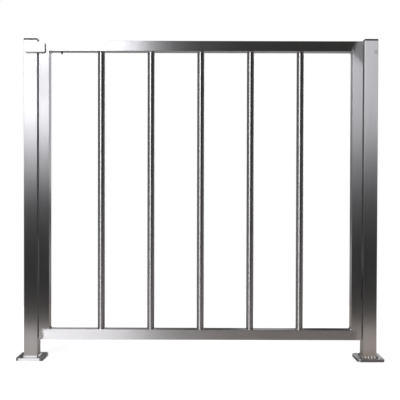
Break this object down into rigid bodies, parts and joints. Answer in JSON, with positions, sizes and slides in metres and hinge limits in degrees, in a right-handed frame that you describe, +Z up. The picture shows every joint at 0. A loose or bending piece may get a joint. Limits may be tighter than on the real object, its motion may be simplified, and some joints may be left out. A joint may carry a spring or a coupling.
{
  "type": "waist-high access gate",
  "caption": "Waist-high access gate: mitred square-tube leaf with upright round bars, hung between two square posts on bolted foot plates, opening to the rear.",
  "frame": {"origin": "middle of the underside of the hinge post's foot plate, on the floor", "axes": "+X from the latch post towards the hinge post, along the closed leaf; +Y from the front, where the catch block is, to the rear; +Z up"},
  "size_m": [1.085, 0.08, 0.95],
  "materials": {
    "satin_steel": "satin",
    "black_plastic": "matte",
    "washer_brass": "satin",
    "dark_peg": "matte"
  },
  "bodies": {
    "posts": {"latch_post_tube": "satin_steel", "latch_post_foot_plate": "satin_steel", "latch_post_foot_weld": "satin_steel", "latch_post_cap": "black_plastic", "hinge_post_tube": "satin_steel", "hinge_post_foot_plate": "satin_steel", "hinge_post_foot_weld": "satin_steel", "hinge_post_cap": "black_plastic", "catch_block": "satin_steel", "lower_hinge_post_barrel": "satin_steel", "lower_hinge_pin": "satin_steel", "lower_hinge_washer": "washer_brass", "upper_hinge_post_barrel": "satin_steel", "upper_hinge_pin": "satin_steel", "upper_hinge_washer": "washer_brass"},
    "leaf": {"top_rail": "satin_steel", "bottom_rail": "satin_steel", "latch_stile": "satin_steel", "hinge_stile": "satin_steel", "bar_1": "satin_steel", "bar_2": "satin_steel", "bar_3": "satin_steel", "bar_4": "satin_steel", "bar_5": "satin_steel", "top_rail_peg": "dark_peg", "lower_hinge_leaf_barrel": "satin_steel", "upper_hinge_leaf_barrel": "satin_steel"}
  },
  "joints": [
    {"name": "leaf_swing", "type": "hinge", "parent": "posts", "child": "leaf", "pos_m": [-0.0295, 0.0195, 0.5015], "axis": [0, 0, -1], "range_deg": [0, 180]}
  ]
}
